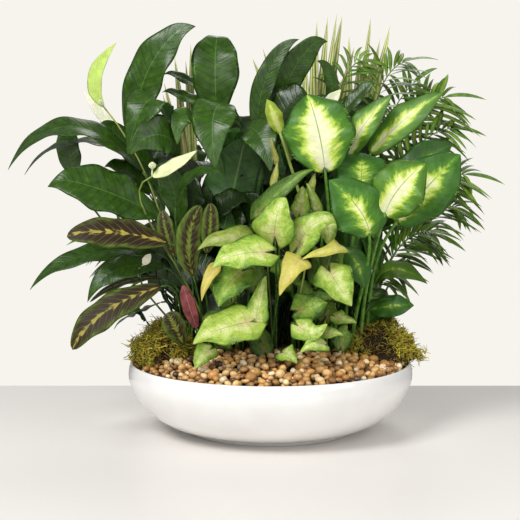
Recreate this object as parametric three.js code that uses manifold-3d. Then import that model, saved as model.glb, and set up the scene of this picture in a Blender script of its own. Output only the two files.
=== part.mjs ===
// A dish garden: a shallow glazed stoneware bowl filled with potting soil, a dressing of river gravel
// and moss, and six kinds of house plant. Millimetres, +Z up, origin under the centre of the bowl's foot,
// on the table. The arrangement's front is towards -Y.
import * as THREE from "three";
import { mergeVertices } from "three/addons/utils/BufferGeometryUtils.js";
import Module from "manifold-3d";

const wasm = await Module();
wasm.setup();

// ---- driving dimensions -------------------------------------------------------------------------------
const BOWL_RADIUS = 152.4;
const BOWL_HEIGHT = 74;
const WALL = 5;
const BASE = 10; // thickness of the bowl's bottom in the middle
const FOOT_RADIUS = 92;
const TURNS = 40; // facets round the bowl and what fills it
const GAP = 0.3; // between pieces that touch
const CUT = 0.6; // how much larger a leaf is when it cuts room for itself
const EDGE_LEVEL = 66; // planting surface at the bowl's wall
const MOUND = 20; // how much the planting surface rises to the middle
const GRAVEL_DEPTH = 9;
const BED = { x: 0, y: 20, across: 112, deep: 66 }; // oval bed that the plants stand in
const STALK = 1.9; // half-thickness of a leaf stalk
const BLADE = 0.9; // half-thickness of a leaf blade along its midrib
const STALK_STEPS = 4;
const BLADE_STEPS = 6;

const inner = BOWL_RADIUS - WALL;
const surface = (r) => EDGE_LEVEL + MOUND * (1 - (r / inner) ** 2);

// ---- materials ----------------------------------------------------------------------------------------
const finish = (color, roughness) => new THREE.MeshStandardMaterial({ color, roughness, metalness: 0 });
const GLAZE = finish(0xf2f0ed, 0.1);
const SOIL = finish(0x2b1d12, 0.95);
const GRAVEL = finish(0xa78656, 0.6);
const MOSS = finish(0x66531b, 0.95);
const LILY = finish(0x3b621e, 0.4);
const SPATHE = finish(0xe6ebc8, 0.5);
const PRAYER = finish(0x484310, 0.5);
const ARROWHEAD = finish(0xb5ca70, 0.5);
const DUMB_CANE = finish(0x8fb44a, 0.45);
const PALM = finish(0x3f6b22, 0.5);
const STRIPED = finish(0xc9c98a, 0.5);

// ---- solids -------------------------------------------------------------------------------------------
const garden = new THREE.Group();
const v3 = (p) => new THREE.Vector3(...p);

function solid(geometry) {
  geometry.deleteAttribute("normal");
  geometry.deleteAttribute("uv");
  const merged = mergeVertices(geometry, 1e-3);
  return new wasm.Manifold(
    new wasm.Mesh({
      numProp: 3,
      vertProperties: merged.attributes.position.array,
      triVerts: new Uint32Array(merged.index.array),
    }),
  );
}

function geometryOf(body) {
  const { vertProperties, triVerts, numProp, numVert } = body.getMesh();
  const position = new Float32Array(numVert * 3);
  for (let i = 0; i < numVert; i++) {
    const at = i * numProp;
    position.set(vertProperties.subarray(at, at + 3), i * 3);
  }
  return new THREE.BufferGeometry()
    .setAttribute("position", new THREE.BufferAttribute(position, 3))
    .setIndex(new THREE.BufferAttribute(triVerts, 1));
}

// What a cut leaves of a piece: the crumbs it parts from the largest body are dropped.
const largest = (body) => body.decompose().sort((a, b) => b.volume() - a.volume())[0];

function add(name, body, material) {
  const mesh = new THREE.Mesh(geometryOf(body), material);
  mesh.name = name;
  garden.add(mesh);
}

// A profile of [radius, height] pairs, up the outside and down the axis, turned about Z.
function turned(profile, turns = TURNS) {
  const lathe = new THREE.LatheGeometry(profile.map(([r, z]) => new THREE.Vector2(r, z)), turns);
  return solid(lathe.rotateX(Math.PI / 2));
}

// ---- bowl and filling ---------------------------------------------------------------------------------
const BELLY = [
  [FOOT_RADIUS, 0],
  [FOOT_RADIUS + 1, 4.5],
  [97, 5.5],
  [108, 8],
  [122, 15],
  [135.5, 26],
  [145, 39],
  [150.5, 53],
  [BOWL_RADIUS + 0.2, 66],
  [BOWL_RADIUS, BOWL_HEIGHT - 1],
];
const HOLLOW = [
  [inner, BOWL_HEIGHT - 1],
  [inner, 60],
  [144, 48],
  [136, 34],
  [122, 22],
  [104, 14],
  [88, 11],
];

function bowl() {
  const lip = [BOWL_RADIUS - WALL / 2, BOWL_HEIGHT];
  return turned([[0, 0], ...BELLY, lip, ...HOLLOW, [0, BASE]]);
}

// Everything under the planting surface, lifted or lowered by a distance, out to a radius.
function ground(lift, reach = 220) {
  const rings = [0, 0.4, 0.7, 1].map((share) => share * inner);
  const top = rings.map((r) => [r, surface(r) + lift]).reverse();
  return turned([[0, -30], [reach, -30], [reach, surface(inner) + lift], ...top]);
}

function bed(margin) {
  const oval = new THREE.CylinderGeometry(1, 1, 200, TURNS).rotateX(Math.PI / 2);
  return solid(oval.scale(BED.across + margin, BED.deep + margin, 1).translate(BED.x, BED.y, 0));
}

// The bowl's inside, GAP clear of its wall.
function filling(clear = GAP) {
  const wall = HOLLOW.map(([r, z]) => [r - clear, z + clear]).reverse();
  return turned([[0, BASE + clear], ...wall, [inner - clear, 120], [0, 120]]);
}

function gravel(grow = 0) {
  const layer = ground(grow).subtract(ground(-GRAVEL_DEPTH - grow)).subtract(bed(-grow));
  return layer.intersect(filling(GAP - grow));
}

const soil = () => filling().intersect(ground(0)).subtract(gravel(GAP));

// A cushion of moss on the planting surface, inside the rim.
function mossCushion([x, y, z], [width, depth, height], turn) {
  const lump = new THREE.IcosahedronGeometry(1, 2);
  const place = lump.attributes.position;
  for (let i = 0; i < place.count; i++) {
    const p = new THREE.Vector3().fromBufferAttribute(place, i);
    p.multiplyScalar(1 + 0.09 * Math.sin(5 * p.x + turn) * Math.cos(6 * p.y - turn));
    place.setXYZ(i, p.x * width, p.y * depth, p.z * height);
  }
  const rim = turned([
    [inner - 1, -5],
    [BOWL_RADIUS + 20, -5],
    [BOWL_RADIUS + 20, BOWL_HEIGHT + GAP],
    [inner - 1, BOWL_HEIGHT + GAP],
    [inner - 1, -5],
  ]);
  return solid(lump.rotateZ(turn).translate(x, y, z)).subtract(ground(GAP)).subtract(rim);
}

// ---- leaves -------------------------------------------------------------------------------------------
// Half-width along a blade from its base (0) to its tip (1), as a share of the widest half-width;
// lobe is how far the base's corners reach back past the stalk, as a share of the blade's width.
const FORMS = {
  lance: { outline: (t) => Math.sin(Math.PI * t ** 0.8) ** 0.8, fold: 0.18, lobe: 0 },
  egg: { outline: (t) => Math.sin(Math.PI * (0.06 + 0.94 * t) ** 0.66) ** 0.7, fold: 0.12, lobe: 0.1 },
  oblong: { outline: (t) => Math.sin(Math.PI * t) ** 0.45, fold: 0.08, lobe: 0 },
  arrow: { outline: (t) => 0.82 * (1 - t) ** 0.8 * (1 + 1.1 * t), fold: 0.12, lobe: 0.42 },
};

// The line of a leaf: up the stalk from the root to the neck, then along the midrib through mid to the tip.
function leafLine({ root, neck, mid, tip }) {
  const foot = new THREE.Vector3(root[0], root[1], surface(Math.hypot(...root)) + GAP);
  const [n, m, t] = [neck, mid, tip].map(v3);
  const bow = m.clone().multiplyScalar(2).addScaledVector(n, -0.5).addScaledVector(t, -0.5);
  const rib = new THREE.QuadraticBezierCurve3(n, bow, t);
  const reach = foot.distanceTo(n);
  const rise = foot.clone().add(new THREE.Vector3(0, 0, 0.4 * reach));
  const lead = n.clone().addScaledVector(rib.getTangent(0), -0.3 * reach);
  return { stalk: new THREE.CubicBezierCurve3(foot, rise, lead, n), rib };
}

// Normals carried along a row of tangents from the middle of the blade, where the leaf faces `face`.
function carriedNormals(tangents, middle, face) {
  const across = (n, t) => n.clone().addScaledVector(t, -n.dot(t)).normalize();
  const normals = [];
  normals[middle] = across(v3(face), tangents[middle]);
  for (let i = middle + 1; i < tangents.length; i++) normals[i] = across(normals[i - 1], tangents[i]);
  for (let i = middle - 1; i >= 0; i--) normals[i] = across(normals[i + 1], tangents[i]);
  return normals;
}

// One leaf: a four-sided bar bent up its stalk and along its midrib, and flattened there into the blade.
function leaf(plan, form, grow = 0) {
  const { stalk, rib } = leafLine(plan);
  const { outline, fold, lobe } = FORMS[form];
  const stations = [];
  for (let i = 0; i <= STALK_STEPS; i++)
    stations.push({ p: stalk.getPoint(i / STALK_STEPS), t: stalk.getTangent(i / STALK_STEPS), at: -1 });
  for (let i = 1; i <= BLADE_STEPS; i++) {
    const at = form === "arrow" ? 0.03 + (0.97 * (i - 1)) / (BLADE_STEPS - 1) : i / BLADE_STEPS;
    stations.push({ p: rib.getPoint(at), t: rib.getTangent(at), at });
  }
  const middle = STALK_STEPS + BLADE_STEPS / 2;
  const normals = carriedNormals(stations.map((s) => s.t), middle, plan.face);
  const steps = stations.length - 1;
  const bar = new THREE.CylinderGeometry(1, 1, 1, 4, steps);
  const place = bar.attributes.position;
  for (let i = 0; i < place.count; i++) {
    const [side, up] = [place.getX(i), place.getZ(i)].map(Math.round);
    const step = Math.round((place.getY(i) + 0.5) * steps);
    const { p, t, at } = stations[step];
    const normal = normals[step];
    const across = new THREE.Vector3().crossVectors(t, normal);
    const blade = at >= 0;
    const half = blade ? Math.max(0.7, (outline(at) * plan.width) / 2) : STALK;
    const thick = blade ? BLADE * (1 - 0.5 * at) : STALK;
    const back = blade ? lobe * plan.width * (1 - at) ** 4 : 0;
    const spot = p.clone();
    spot.addScaledVector(across, side * (half + grow));
    spot.addScaledVector(normal, up * (thick + grow) + (blade ? fold * Math.abs(side) * half : 0));
    spot.addScaledVector(t, step === steps ? grow : step === 0 ? -grow : -back * Math.abs(side));
    place.setXYZ(i, spot.x, spot.y, spot.z);
  }
  return solid(bar);
}

// A three-sided blade from one point to another, sagging by a drop in the middle and the tip.
function strap(from, to, half, face, drop = 0, grow = 0, steps = 2) {
  const blade = new THREE.CylinderGeometry(1, 1, 1, 3, steps);
  const place = blade.attributes.position;
  const along = to.clone().sub(from).normalize();
  const normal = face.clone().addScaledVector(along, -face.dot(along)).normalize();
  const across = new THREE.Vector3().crossVectors(along, normal);
  for (let i = 0; i < place.count; i++) {
    const t = place.getY(i) + 0.5;
    const wide = half * (0.35 + 0.65 * Math.sin(Math.PI * Math.min(1, 0.25 + 0.75 * t)));
    const spot = from.clone().lerp(to, t);
    spot.addScaledVector(across, place.getX(i) * (Math.max(0.7, wide) + grow));
    spot.addScaledVector(normal, place.getZ(i) * (1.1 + grow));
    spot.z -= drop * t * t;
    place.setXYZ(i, spot.x, spot.y, spot.z);
  }
  return solid(blade);
}

// A spathe on its stalk with the knobbed spadix standing at its base.
function flower(plan, grow = 0) {
  const { rib } = leafLine(plan);
  const spadix = new THREE.CapsuleGeometry(plan.spadix[0] + grow, plan.spadix[1], 2, 6).rotateX(Math.PI / 2);
  const foot = v3(plan.neck);
  const tilt = new THREE.Quaternion().setFromUnitVectors(new THREE.Vector3(0, 0, 1), rib.getTangent(0));
  spadix.translate(0, 0, plan.spadix[1] / 2).applyQuaternion(tilt).translate(foot.x, foot.y, foot.z);
  return leaf(plan, "lance", grow).add(solid(spadix));
}

// A palm frond: a thin rachis with pairs of leaflets that splay to each side and hang.
function frond(plan, grow = 0) {
  const { stalk, rib } = leafLine(plan);
  const lower = [0, 0.35, 0.7, 1].map((s) => stalk.getPoint(s));
  const upper = [0.33, 0.66, 1].map((s) => rib.getPoint(s));
  const line = new THREE.CatmullRomCurve3([...lower, ...upper]);
  const section = new THREE.Shape();
  section.absarc(0, 0, 1.4 + grow, 0, Math.PI * 2);
  const run = { steps: 8, curveSegments: 2, bevelEnabled: false, extrudePath: line };
  let body = solid(new THREE.ExtrudeGeometry(section, run));
  const up = v3(plan.face);
  for (let i = 0; i < plan.pairs; i++) {
    const s = 0.08 + (0.86 * i) / (plan.pairs - 1);
    const from = rib.getPoint(s);
    const along = rib.getTangent(s);
    const across = new THREE.Vector3().crossVectors(along, up).normalize();
    const long = plan.leaflet * (1 - 0.45 * (2 * s - 0.9) ** 2);
    for (const side of [-1, 1]) {
      const to = from.clone().addScaledVector(along, 0.62 * long).addScaledVector(across, side * 0.78 * long);
      body = body.add(strap(from, to, plan.width, up, 0.22 * long, grow));
    }
  }
  const end = rib.getPoint(1);
  const last = end.addScaledVector(rib.getTangent(1), 0.7 * plan.leaflet);
  return body.add(strap(rib.getPoint(0.95), last, plan.width, up, 0, grow));
}

// A tuft of narrow upright blades on a short stem.
function tuft({ root, stem, blades }, grow = 0) {
  const foot = new THREE.Vector3(...root, surface(Math.hypot(...root)) + GAP);
  const crown = new THREE.Vector3(...stem);
  const trunk = new THREE.LineCurve3(foot, crown);
  const section = new THREE.Shape();
  section.absarc(0, 0, 4 + grow, 0, Math.PI * 2);
  const run = { steps: 1, curveSegments: 2, bevelEnabled: false, extrudePath: trunk };
  let body = solid(new THREE.ExtrudeGeometry(section, run));
  const face = new THREE.Vector3(0.1, -1, 0);
  const heart = crown.clone().lerp(foot, 0.1);
  for (const tip of blades) body = body.add(strap(heart, v3(tip), 4.2, face, 0, grow));
  return body;
}

// ---- planting plan ------------------------------------------------------------------------------------
// Each leaf: where its stalk leaves the soil, its neck, the middle and tip of its midrib, its width, and the
// way its upper side faces.
const row = (root, neck, mid, tip, width, face) => ({ root, neck, mid, tip, width, face });

const PEACE_LILY = [
  row([-92, 44], [-148, 42, 300], [-130, 34, 380], [-82, 28, 430], 46, [-3, -9, 3]),
  row([-60, 40], [-58, 52, 330], [-60, 44, 388], [-57, 78, 420], 50, [0.5, -10, 1]),
  row([-96, 14], [-136, -2, 276], [-206, -16, 324], [-276, -20, 288], 36, [0, -5, 8]),
  row([-90, 2], [-116, -20, 230], [-176, -44, 260], [-230, -50, 272], 56, [-1, -7, 6]),
  row([-80, 26], [-120, 28, 268], [-156, 24, 306], [-186, 18, 334], 30, [2, -8, 5]),
  row([-74, 10], [-96, 4, 296], [-116, -24, 316], [-146, -42, 302], 44, [0, -10, 3]),
  row([-48, 22], [-46, 22, 348], [-60, -12, 336], [-58, -28, 286], 50, [0, -8, 6]),
  row([-30, 20], [-28, 16, 322], [-12, -8, 316], [0, -24, 283], 36, [-2, -8, 5]),
  row([-104, 6], [-122, -4, 190], [-188, -16, 191], [-254, -26, 162], 30, [0, -6, 8]),
  row([-86, -14], [-112, -34, 178], [-156, -46, 178], [-190, -54, 152], 30, [-1, -8, 5]),
  row([-14, 30], [-12, 30, 306], [-6, 26, 372], [31, 24, 426], 24, [-2, -9, 1]),
  row([4, 42], [8, 42, 336], [28, 38, 390], [62, 34, 424], 30, [3, -9, 2]),
  row([-50, 66], [-84, 110, 250], [-110, 150, 292], [-132, 188, 262], 52, [-4, 2, 8]),
  row([10, 72], [16, 120, 270], [22, 160, 318], [34, 196, 296], 54, [1, -2, 9]),
  row([54, 68], [92, 108, 214], [116, 142, 248], [150, 176, 222], 50, [4, 2, 8]),
];

const PRAYER_PLANT = [
  row([-84, -28], [-106, -56, 206], [-160, -72, 218], [-207, -78, 216], 36, [0, -8.5, 5]),
  row([-96, -20], [-114, -52, 160], [-170, -70, 136], [-203, -78, 100], 36, [-2, -8.5, 5]),
  row([-72, -30], [-80, -60, 172], [-84, -62, 210], [-72, -60, 246], 28, [2, -10, 0]),
  row([-62, -34], [-76, -66, 118], [-84, -68, 142], [-90, -64, 164], 15, [-1, 10, 0]),
];

const ARROWHEAD_PLANT = [
  row([-14, -40], [-21, -100, 130], [-50, -115, 125], [-78, -120, 114], 54, [-1, -7.5, 6.5]),
  row([0, -36], [-6, -88, 199], [-33, -102, 198], [-59, -105, 188], 50, [0, -7, 7]),
  row([6, -20], [4, -72, 214], [6, -80, 236], [15, -76, 256], 46, [-2, -9, 4]),
  row([30, -24], [27, -70, 203], [45, -80, 228], [68, -82, 231], 38, [-2, -8.5, 5]),
  row([22, -36], [22, -94, 190], [14, -108, 180], [10, -112, 158], 42, [0, -9, 4]),
  row([52, -30], [60, -84, 178], [69, -98, 164], [81, -100, 148], 44, [1, -8.5, 5]),
  row([38, -36], [28, -88, 140], [42, -96, 146], [57, -94, 150], 34, [1, -9, 3]),
  row([-30, -30], [-30, -76, 178], [-44, -92, 166], [-53, -98, 147], 44, [-1, -9, 4]),
  row([-20, -12], [-15, -48, 232], [8, -56, 258], [46, -50, 286], 26, [-4, -8.5, 3]),
];

const DUMB_CANE_PLANT = [
  row([66, 4], [56, -38, 282], [49, -36, 322], [38, -12, 360], 76, [-1, -9, 4.5]),
  row([74, 16], [84, -4, 295], [99, -4, 326], [128, -4, 358], 34, [-5, -8, 2]),
  row([90, 24], [108, 6, 297], [141, 6, 330], [184, 6, 362], 36, [-3, -8.5, 4]),
  row([80, -4], [93, -32, 258], [95, -30, 280], [96, -8, 298], 58, [0, -9.5, 3]),
  row([86, -20], [98, -72, 226], [87, -78, 246], [64, -74, 266], 56, [-1, -9, 4]),
  row([96, -12], [116, -76, 240], [129, -86, 264], [156, -82, 290], 58, [-1, -9, 4]),
  row([104, -2], [132, -42, 228], [162, -50, 264], [196, -42, 298], 62, [1, -9, 4]),
  row([70, -18], [78, -44, 198], [90, -54, 181], [97, -52, 158], 26, [0, -9, 3]),
  row([100, 8], [112, -6, 158], [132, -16, 174], [166, -22, 160], 28, [1, -6, 8]),
  row([118, 10], [108, -10, 130], [129, -20, 135], [152, -22, 137], 28, [0, -8, 5]),
];

const PALM_FRONDS = [
  {
    root: [96, 44], neck: [112, 50, 326], mid: [124, 48, 372], tip: [146, 44, 394], leaflet: 46,
    width: 4.5, pairs: 4, face: [0, -4, 8],
  },
  {
    root: [88, 54], neck: [138, 64, 290], mid: [164, 66, 336], tip: [192, 62, 356], leaflet: 56,
    width: 5, pairs: 6, face: [-2, -6, 7],
  },
  {
    root: [104, 34], neck: [146, 44, 220], mid: [178, 44, 258], tip: [212, 38, 272], leaflet: 56,
    width: 5, pairs: 6, face: [-1, -6, 8],
  },
  {
    root: [106, 26], neck: [132, 24, 182], mid: [150, 20, 204], tip: [168, 14, 212], leaflet: 46,
    width: 4.5, pairs: 5, face: [0, -4, 8],
  },
  {
    root: [70, 74], neck: [92, 128, 246], mid: [98, 164, 290], tip: [96, 196, 300], leaflet: 52,
    width: 5, pairs: 6, face: [0, 2, 8],
  },
  {
    root: [-66, 62], neck: [-128, 66, 150], mid: [-160, 62, 190], tip: [-190, 52, 204], leaflet: 44,
    width: 4.5, pairs: 5, face: [-1, -5, 8],
  },
];

const STRIPED_TUFTS = [
  {
    root: [-78, 66], stem: [-84, 76, 236],
    blades: [[-150, 84, 386], [-106, 80, 400], [-94, 84, 396], [-88, 78, 414], [-120, 112, 372]],
  },
  {
    root: [34, 62], stem: [48, 80, 252],
    blades: [[52, 78, 440], [64, 82, 444], [74, 76, 448], [-8, 84, 410], [80, 84, 446], [40, 112, 404]],
  },
  {
    root: [60, 60], stem: [92, 84, 256],
    blades: [[88, 82, 424], [112, 84, 444], [100, 78, 408], [134, 84, 436], [122, 78, 420], [118, 112, 398]],
  },
];

const FLOWERS = [
  {
    root: [-100, 26], neck: [-176, 2, 344], mid: [-185, 0, 376], tip: [-162, -4, 412], width: 18,
    face: [-3, -9, 1], spadix: [2.5, 10],
  },
  {
    root: [-104, 58], neck: [-166, 56, 313], mid: [-185, 56, 337], tip: [-205, 56, 362], width: 11,
    face: [2, -9, 4], spadix: [2, 6],
  },
  {
    root: [-64, -14], neck: [-122, -54, 274], mid: [-101, -60, 284], tip: [-75, -60, 301], width: 13,
    face: [-2, -8, 5], spadix: [3, 8],
  },
];

// ---- assembly -----------------------------------------------------------------------------------------
add("bowl", bowl(), GLAZE);
add("soil", soil(), SOIL);
add("river_gravel", gravel(), GRAVEL);
const CUSHIONS = {
  moss_left: [[-112, -16, 78], [40, 44, 32], 0.3],
  moss_right: [[118, -8, 78], [34, 44, 30], 1.4],
  moss_back: [[10, 106, 76], [92, 36, 20], 0.1],
};
const taken = []; // what is already planted, CUT larger than it is

const clashes = (a, b) => {
  const [p, q] = [a.boundingBox(), b.boundingBox()];
  return p.min.every((low, i) => low < q.max[i] && q.min[i] < p.max[i]);
};
function plant(name, body, material, grown) {
  const whole = body.volume();
  const room = grown.add(body);
  for (const other of taken) if (clashes(body, other)) body = body.subtract(other);
  body = largest(body);
  const kept = body.volume() / whole;
  if (kept < 0.97) console.log(name, "keeps", kept.toFixed(2));
  add(name, body, material);
  taken.push(room);
}
const plantAll = (plans, name, form, material) =>
  plans.forEach((plan, i) => plant(`${name}_${i + 1}`, leaf(plan, form), material, leaf(plan, form, CUT)));

plantAll(DUMB_CANE_PLANT, "dumb_cane_leaf", "egg", DUMB_CANE);
plantAll(ARROWHEAD_PLANT, "arrowhead_leaf", "arrow", ARROWHEAD);
plantAll(PRAYER_PLANT, "prayer_plant_leaf", "oblong", PRAYER);
plantAll(PEACE_LILY, "peace_lily_leaf", "lance", LILY);
FLOWERS.forEach((plan, i) => {
  plant(`peace_lily_flower_${i + 1}`, flower(plan), SPATHE, flower(plan, CUT));
});
PALM_FRONDS.forEach((plan, i) => {
  plant(`palm_frond_${i + 1}`, frond(plan), PALM, frond(plan, CUT));
});
STRIPED_TUFTS.forEach((plan, i) => {
  plant(`striped_tuft_${i + 1}`, tuft(plan), STRIPED, tuft(plan, CUT));
});
for (const [name, cushion] of Object.entries(CUSHIONS)) {
  const body = mossCushion(...cushion);
  plant(name, body, MOSS, body);
}

export default garden;
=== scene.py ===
import math
import random

import bmesh
import bpy
from mathutils import Matrix, Vector, noise


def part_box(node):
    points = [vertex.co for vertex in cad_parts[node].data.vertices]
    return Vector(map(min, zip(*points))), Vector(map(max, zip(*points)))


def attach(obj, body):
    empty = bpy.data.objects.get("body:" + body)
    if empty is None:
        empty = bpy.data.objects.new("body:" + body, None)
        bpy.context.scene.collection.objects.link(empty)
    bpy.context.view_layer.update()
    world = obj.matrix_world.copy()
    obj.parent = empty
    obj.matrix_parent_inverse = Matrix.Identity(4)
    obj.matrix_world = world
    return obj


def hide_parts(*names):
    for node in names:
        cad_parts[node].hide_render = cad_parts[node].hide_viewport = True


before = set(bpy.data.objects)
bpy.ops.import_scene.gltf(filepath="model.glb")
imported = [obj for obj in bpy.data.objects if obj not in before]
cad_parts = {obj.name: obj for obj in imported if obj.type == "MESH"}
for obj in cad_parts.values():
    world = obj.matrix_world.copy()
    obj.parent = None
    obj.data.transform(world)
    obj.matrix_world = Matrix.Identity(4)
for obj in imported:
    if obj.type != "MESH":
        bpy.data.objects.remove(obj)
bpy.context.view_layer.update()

MM = 0.001
INNER = 147.4  # inner radius of the bowl at the rim
EDGE_LEVEL = 66.0  # height of the planting surface at the rim
MOUND = 20.0  # how much higher it is in the middle
ONE_WAVE = 0.314159  # wave texture scale that gives one band for each unit of the vein map
TURN = 6.283  # once round, for random bearings
SINK = 3.0  # how deep a stalk starts below the planting surface


def ground(x, y):
    """Height of the planting surface."""
    return EDGE_LEVEL + MOUND * (1 - min(1.0, (x * x + y * y) / INNER**2))


# ---- colour and materials ------------------------------------------------------------------------------

def hue(code):
    """A six-digit sRGB code as linear colour."""
    parts = [int(code[i:i + 2], 16) / 255 for i in (0, 2, 4)]
    return (*[p / 12.92 if p <= 0.04045 else ((p + 0.055) / 1.055) ** 2.4 for p in parts], 1.0)


def grey(value):
    return (value, value, value, 1.0)


def node(tree, kind, links=None, stops=(), **settings):
    """One node: its settings, what is linked to or set on its sockets, and a colour ramp's stops."""
    made = tree.nodes.new(kind)
    for name, value in settings.items():
        setattr(made, name, value)
    for name, value in (links or {}).items():
        if isinstance(value, bpy.types.NodeSocket):
            tree.links.new(value, made.inputs[name])
        else:
            made.inputs[name].default_value = value
    if stops:
        made.color_ramp.interpolation = "EASE"
        bar = made.color_ramp.elements
        while len(bar) < len(stops):
            bar.new(0.5)
        for element, (place, colour) in zip(bar, stops):
            element.position = place
            element.color = colour if isinstance(colour, tuple) else hue(colour)
    return made


def new_material(name):
    material = bpy.data.materials.new(name)
    material.use_nodes = True
    material.node_tree.nodes.clear()
    return material, material.node_tree


def finished(tree, sockets):
    """The surface shader with its sockets, joined to the output."""
    shader = node(tree, "ShaderNodeBsdfPrincipled", sockets)
    node(tree, "ShaderNodeOutputMaterial", {"Surface": shader.outputs[0]})


def leaf_material(name, blade, midrib, rib_width, vein_colour, vein_share, rough, relief, coat=0.0,
                  glow=0.06, tone_and_shade_range=0.5, warm="8a8f3a", vein_weight=0.4, mottle_range=0.10, ior=1.38):
    """Living leaf: a waxy skin over a net of veins. The midrib is rib_width of the half-blade, side veins run
    in rows from it, blotches are about 7 mm across, and the tint on each leaf sets how light it is, how far
    it has yellowed and how far its pattern has gone over to green. How light a leaf is stands partly for its
    own tone and partly for painted shade: leaves deep in the planting are made dark for the shade they stand in."""
    material, tree = new_material(name)
    phase = node(tree, "ShaderNodeUVMap", uv_map="veins").outputs[0]
    flat = node(tree, "ShaderNodeUVMap", uv_map="leaf").outputs[0]
    across = node(tree, "ShaderNodeSeparateXYZ", {0: phase})
    round_and_along = node(tree, "ShaderNodeSeparateXYZ", {0: flat})
    share = across.outputs["Y"]
    tint = node(tree, "ShaderNodeAttribute", attribute_name="tint").outputs["Color"]
    tone = node(tree, "ShaderNodeSeparateColor", {0: tint})
    place = node(tree, "ShaderNodeTexCoord").outputs["Object"]
    blotch = node(tree, "ShaderNodeTexNoise", {"Vector": place, "Scale": 140.0, "Detail": 3.0}).outputs[0]
    fine = node(tree, "ShaderNodeTexNoise", {"Vector": place, "Scale": 900.0, "Detail": 2.0}).outputs[0]
    veins = node(tree, "ShaderNodeTexWave", {"Vector": phase, "Scale": ONE_WAVE, "Distortion": 0.5,
                                             "Detail": 1.0, "Detail Scale": 0.6}).outputs["Fac"]
    line = node(tree, "ShaderNodeMapRange", {0: veins, 1: 1 - vein_share, 2: 1.0, 3: 0.0, 4: 1.0}).outputs[0]
    # Neither two halves nor two leaves are marked alike: the third coordinate turns with both.
    turn = node(tree, "ShaderNodeMath", {0: tone.outputs[2], 1: 2.3, 2: round_and_along.outputs["X"]},
                operation="MULTIPLY_ADD").outputs[0]
    spot = node(tree, "ShaderNodeCombineXYZ", {0: across.outputs["X"], 1: share, 2: turn}).outputs[0]
    colour = blade(tree, share, veins, blotch, spot, round_and_along.outputs["Y"], tone.outputs[2])
    weight = node(tree, "ShaderNodeMath", {0: line, 1: vein_weight}, operation="MULTIPLY").outputs[0]
    colour = node(tree, "ShaderNodeMix", {0: weight, 6: colour, 7: hue(vein_colour)}, data_type="RGBA").outputs[2]
    rib = node(tree, "ShaderNodeMapRange", {0: share, 1: rib_width, 2: rib_width * 0.35, 3: 0.0,
                                            4: 0.85}).outputs[0]
    colour = node(tree, "ShaderNodeMix", {0: rib, 6: colour, 7: hue(midrib)}, data_type="RGBA").outputs[2]
    colour = node(tree, "ShaderNodeMix", {0: tone.outputs[1], 6: colour, 7: hue(warm)},
                  data_type="RGBA").outputs[2]
    # Painted shade: the tint's first channel scales the whole leaf's colour, darker for leaves in shadow, and also
    # varies the tone from leaf to leaf.
    lit = node(tree, "ShaderNodeMapRange", {0: tone.outputs[0], 1: 0.0, 2: 1.0, 3: 1 - tone_and_shade_range,
                                            4: 1 + tone_and_shade_range}).outputs[0]
    mottle = node(tree, "ShaderNodeMapRange", {0: blotch, 1: 0.3, 2: 0.7, 3: 1 - mottle_range,
                                               4: 1 + mottle_range}).outputs[0]
    both = node(tree, "ShaderNodeMath", {0: lit, 1: mottle}, operation="MULTIPLY").outputs[0]
    colour = node(tree, "ShaderNodeVectorMath", {0: colour, "Scale": both}, operation="SCALE").outputs[0]
    height = node(tree, "ShaderNodeMath", {0: line, 1: fine}, operation="SUBTRACT").outputs[0]
    bump = node(tree, "ShaderNodeBump", {"Strength": relief, "Distance": 0.0006, "Height": height},
                invert=True).outputs[0]
    shine = node(tree, "ShaderNodeMapRange", {0: fine, 1: 0.3, 2: 0.7, 3: rough - 0.05,
                                              4: rough + 0.07}).outputs[0]
    finished(tree, {"Base Color": colour, "Roughness": shine, "Normal": bump, "IOR": ior,
                    "Coat Weight": coat, "Coat Roughness": 0.2, "Subsurface Weight": glow,
                    "Subsurface Radius": (0.0012, 0.0016, 0.0006), "Subsurface Scale": 0.6})
    return material


def plain_blade(*stops):
    return lambda tree, share, veins, blotch, *rest: node(tree, "ShaderNodeValToRGB", {0: blotch},
                                                          stops=stops).outputs[0]


def cream_centre(tree, share, veins, blotch, spot, along, shift):
    """Cream down the middle, broken into feathers along the side veins, which run through lime into a broad
    dark green margin. The pattern closes towards the tip, and a shift of 1 leaves no cream."""
    drawn = node(tree, "ShaderNodeMapping", {"Vector": spot, "Scale": (0.62, 0.9, 5.0)}).outputs[0]
    cloud = node(tree, "ShaderNodeTexNoise", {"Vector": drawn, "Scale": 1.0, "Detail": 6.0,
                                              "Roughness": 0.70}).outputs[0]
    feather = node(tree, "ShaderNodeMath", {0: cloud, 1: 1.25, 2: -0.575}, operation="MULTIPLY_ADD").outputs[0]
    closing = node(tree, "ShaderNodeMapRange", {0: along, 1: 0.58, 2: 0.98, 3: 0.0, 4: 0.45}).outputs[0]
    greener = node(tree, "ShaderNodeMath", {0: shift, 1: 0.60, 2: -0.20}, operation="MULTIPLY_ADD").outputs[0]
    first = node(tree, "ShaderNodeMath", {0: share, 1: feather}, operation="ADD").outputs[0]
    second = node(tree, "ShaderNodeMath", {0: closing, 1: greener}, operation="ADD").outputs[0]
    mixed = node(tree, "ShaderNodeMath", {0: first, 1: second}, operation="ADD").outputs[0]
    return node(tree, "ShaderNodeValToRGB", {0: mixed}, stops=[
        (0.16, "dedfb6"), (0.30, "d3dc8e"), (0.42, "b0c84c"), (0.52, "7ca030"), (0.62, "4a7a22"),
        (1.0, "33611a")]).outputs[0]


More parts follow.
